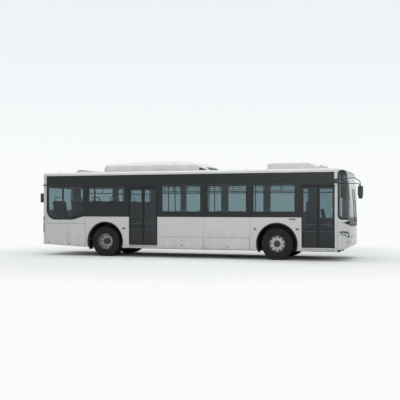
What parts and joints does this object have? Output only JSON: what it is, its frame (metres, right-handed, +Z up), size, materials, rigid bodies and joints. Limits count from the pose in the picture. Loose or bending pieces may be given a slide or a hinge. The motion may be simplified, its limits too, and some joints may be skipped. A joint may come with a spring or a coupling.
{
  "type": "low-entry city bus",
  "caption": "Low-entry city bus with inward gliding doors, steered front wheels, twin rear wheels, side flaps and roof units.",
  "frame": {"origin": "on the ground under the middle of the whole vehicle's outline, mirrors and rear pods included", "axes": "+X forward, +Y to the bus's left, +Z up"},
  "size_m": [11.51, 2.84, 3.312],
  "materials": {
    "body_paint": "clean satin coach paint, slightly dusty low down",
    "roof_moulding": "pale moulded glass-fibre covers",
    "glass": "grey tinted safety glass",
    "black_frame": "black powder-coated frames",
    "steel": "bright zinc-plated steel",
    "black_moulding": "black grained plastic",
    "lens": "clear lamp lens over bright reflectors",
    "red_lens": "dark red lamp lens",
    "tyre": "worn dusty tread rubber",
    "wheel_paint": "silver wheel enamel, dusty",
    "chassis_paint": "dark chassis paint with road dirt",
    "engine": "oily engine casting",
    "floor": "grey speckled vinyl floor",
    "dash": "dark grained dashboard moulding",
    "seats": "blue seat shells with fabric inserts",
    "rail": "yellow coated grab rails"
  },
  "bodies": {
    "body": {"underframe": "chassis_paint", "floor_deck": "floor", "wheel_housings": "black_moulding", "engine_block": "engine", "rear_axle": "chassis_paint", "front_axle": "chassis_paint", "right_side_wall": "body_paint", "left_side_wall": "body_paint", "roof_shell": "body_paint", "front_mask": "body_paint", "rear_mask": "body_paint", "windscreen": "glass", "window_panes": "glass", "aircon_pod": "roof_moulding", "front_roof_pod": "roof_moulding", "roof_hatches": "roof_moulding", "headlamps": "lens", "rear_lamps": "red_lens", "mirrors": "black_moulding", "wipers": "black_moulding", "dashboard": "dash", "driver_cab": "floor", "driver_seat": "seats", "passenger_seats": "seats", "handrails": "rail", "arch_lips": "black_moulding", "rain_ledge": "black_moulding", "wiper_cowl": "black_moulding"},
    "steering_wheel": {"steering_wheel": "black_moulding"},
    "knuckle_left": {"knuckle_left": "chassis_paint"},
    "knuckle_right": {"knuckle_right": "chassis_paint"},
    "tie_rod": {"tie_rod": "chassis_paint"},
    "front_left_wheel": {"front_left_tyre": "tyre", "front_left_rim": "wheel_paint"},
    "rear_left_wheels": {"rear_left_tyres": "tyre", "rear_left_rims": "wheel_paint"},
    "front_right_wheel": {"front_right_tyre": "tyre", "front_right_rim": "wheel_paint"},
    "rear_right_wheels": {"rear_right_tyres": "tyre", "rear_right_rims": "wheel_paint"},
    "front_door_rear_arms": {"front_door_rear_leaf_arms": "steel"},
    "front_door_rear_leaf": {"front_door_rear_leaf": "black_frame", "front_door_rear_leaf_glass": "glass"},
    "front_door_front_arms": {"front_door_front_leaf_arms": "steel"},
    "front_door_front_leaf": {"front_door_front_leaf": "black_frame", "front_door_front_leaf_glass": "glass"},
    "mid_door_rear_arms": {"mid_door_rear_leaf_arms": "steel"},
    "mid_door_rear_leaf": {"mid_door_rear_leaf": "black_frame", "mid_door_rear_leaf_glass": "glass"},
    "mid_door_front_arms": {"mid_door_front_leaf_arms": "steel"},
    "mid_door_front_leaf": {"mid_door_front_leaf": "black_frame", "mid_door_front_leaf_glass": "glass"},
    "flap_rear_right_a": {"flap_rear_right_a": "body_paint"},
    "flap_rear_right_b": {"flap_rear_right_b": "body_paint"},
    "flap_low_right_a": {"flap_low_right_a": "body_paint"},
    "flap_low_right_b": {"flap_low_right_b": "body_paint"},
    "flap_rear_left": {"flap_rear_left": "body_paint"},
    "flap_low_left": {"flap_low_left": "body_paint"},
    "engine_hatch": {"engine_hatch": "body_paint"}
  },
  "joints": [
    {"name": "steer_left", "type": "hinge", "parent": "body", "child": "knuckle_left", "pos_m": [3.005, 0.96, 0.525], "axis": [0, 0, 1], "range_deg": [-38, 38]},
    {"name": "steer_right", "type": "hinge", "parent": "body", "child": "knuckle_right", "pos_m": [3.005, -0.96, 0.525], "axis": [0, 0, 1], "range_deg": [-38, 38]},
    {"name": "tie_rod_eye", "type": "hinge", "parent": "knuckle_left", "child": "tie_rod", "pos_m": [2.883, 0.96, 0.325], "axis": [0, 0, 1], "range_deg": [-38, 38]},
    {"name": "steering_wheel_turn", "type": "hinge", "parent": "body", "child": "steering_wheel", "pos_m": [4.745, 0.62, 1.23], "axis": [-0.4226, 0, 0.9063], "range_deg": [-760, 760]},
    {"name": "front_left_wheel_spin", "type": "hinge", "parent": "knuckle_left", "child": "front_left_wheel", "pos_m": [3.005, 0.96, 0.525], "axis": [0, 1, 0], "continuous": true},
    {"name": "rear_left_wheels_spin", "type": "hinge", "parent": "body", "child": "rear_left_wheels", "pos_m": [-3.125, 0.96, 0.525], "axis": [0, 1, 0], "continuous": true},
    {"name": "front_right_wheel_spin", "type": "hinge", "parent": "knuckle_right", "child": "front_right_wheel", "pos_m": [3.005, -0.96, 0.525], "axis": [0, 1, 0], "continuous": true},
    {"name": "rear_right_wheels_spin", "type": "hinge", "parent": "body", "child": "rear_right_wheels", "pos_m": [-3.125, -0.96, 0.525], "axis": [0, 1, 0], "continuous": true},
    {"name": "front_door_rear_arm_swing", "type": "hinge", "parent": "body", "child": "front_door_rear_arms", "pos_m": [3.855, -1.22, 1.4], "axis": [0, 0, 1], "range_deg": [0, 90]},
    {"name": "front_door_rear_leaf_turn", "type": "hinge", "parent": "front_door_rear_arms", "child": "front_door_rear_leaf", "pos_m": [4.0975, -1.22, 1.4], "axis": [0, 0, -1], "range_deg": [0, 180]},
    {"name": "front_door_front_arm_swing", "type": "hinge", "parent": "body", "child": "front_door_front_arms", "pos_m": [4.835, -1.22, 1.4], "axis": [0, 0, -1], "range_deg": [0, 90]},
    {"name": "front_door_front_leaf_turn", "type": "hinge", "parent": "front_door_front_arms", "child": "front_door_front_leaf", "pos_m": [4.5925, -1.22, 1.4], "axis": [0, 0, 1], "range_deg": [0, 180]},
    {"name": "mid_door_rear_arm_swing", "type": "hinge", "parent": "body", "child": "mid_door_rear_arms", "pos_m": [-2.172, -1.22, 1.4], "axis": [0, 0, 1], "range_deg": [0, 90]},
    {"name": "mid_door_rear_leaf_turn", "type": "hinge", "parent": "mid_door_rear_arms", "child": "mid_door_rear_leaf", "pos_m": [-1.9295, -1.22, 1.4], "axis": [0, 0, -1], "range_deg": [0, 180]},
    {"name": "mid_door_front_arm_swing", "type": "hinge", "parent": "body", "child": "mid_door_front_arms", "pos_m": [-1.192, -1.22, 1.4], "axis": [0, 0, -1], "range_deg": [0, 90]},
    {"name": "mid_door_front_leaf_turn", "type": "hinge", "parent": "mid_door_front_arms", "child": "mid_door_front_leaf", "pos_m": [-1.4345, -1.22, 1.4], "axis": [0, 0, 1], "range_deg": [0, 180]},
    {"name": "flap_rear_right_a_lift", "type": "hinge", "parent": "body", "child": "flap_rear_right_a", "pos_m": [-5.029, -1.25, 1.141], "axis": [-1, 0, 0], "range_deg": [0, 95]},
    {"name": "flap_rear_right_b_lift", "type": "hinge", "parent": "body", "child": "flap_rear_right_b", "pos_m": [-4.24, -1.25, 1.141], "axis": [-1, 0, 0], "range_deg": [0, 95]},
    {"name": "flap_low_right_a_lift", "type": "hinge", "parent": "body", "child": "flap_low_right_a", "pos_m": [-0.2925, -1.25, 0.712], "axis": [-1, 0, 0], "range_deg": [0, 95]},
    {"name": "flap_low_right_b_lift", "type": "hinge", "parent": "body", "child": "flap_low_right_b", "pos_m": [1.327, -1.25, 0.712], "axis": [-1, 0, 0], "range_deg": [0, 95]},
    {"name": "flap_rear_left_lift", "type": "hinge", "parent": "body", "child": "flap_rear_left", "pos_m": [-4.668, 1.25, 1.141], "axis": [1, 0, 0], "range_deg": [0, 95]},
    {"name": "flap_low_left_lift", "type": "hinge", "parent": "body", "child": "flap_low_left", "pos_m": [-0.2925, 1.25, 0.712], "axis": [1, 0, 0], "range_deg": [0, 95]},
    {"name": "engine_hatch_lift", "type": "hinge", "parent": "body", "child": "engine_hatch", "pos_m": [-5.665, 0, 1.295], "axis": [0, 1, 0], "range_deg": [0, 85]}
  ],
  "couplings": [
    {"joint": "steer_right", "follows": "steer_left", "ratio": 1},
    {"joint": "tie_rod_eye", "follows": "steer_left", "ratio": -1},
    {"joint": "steering_wheel_turn", "follows": "steer_left", "ratio": 20},
    {"joint": "front_door_front_arm_swing", "follows": "front_door_rear_arm_swing", "ratio": 1},
    {"joint": "front_door_rear_leaf_turn", "follows": "front_door_rear_arm_swing", "ratio": 2},
    {"joint": "front_door_front_leaf_turn", "follows": "front_door_rear_arm_swing", "ratio": 2},
    {"joint": "mid_door_front_arm_swing", "follows": "mid_door_rear_arm_swing", "ratio": 1},
    {"joint": "mid_door_rear_leaf_turn", "follows": "mid_door_rear_arm_swing", "ratio": 2},
    {"joint": "mid_door_front_leaf_turn", "follows": "mid_door_rear_arm_swing", "ratio": 2}
  ]
}
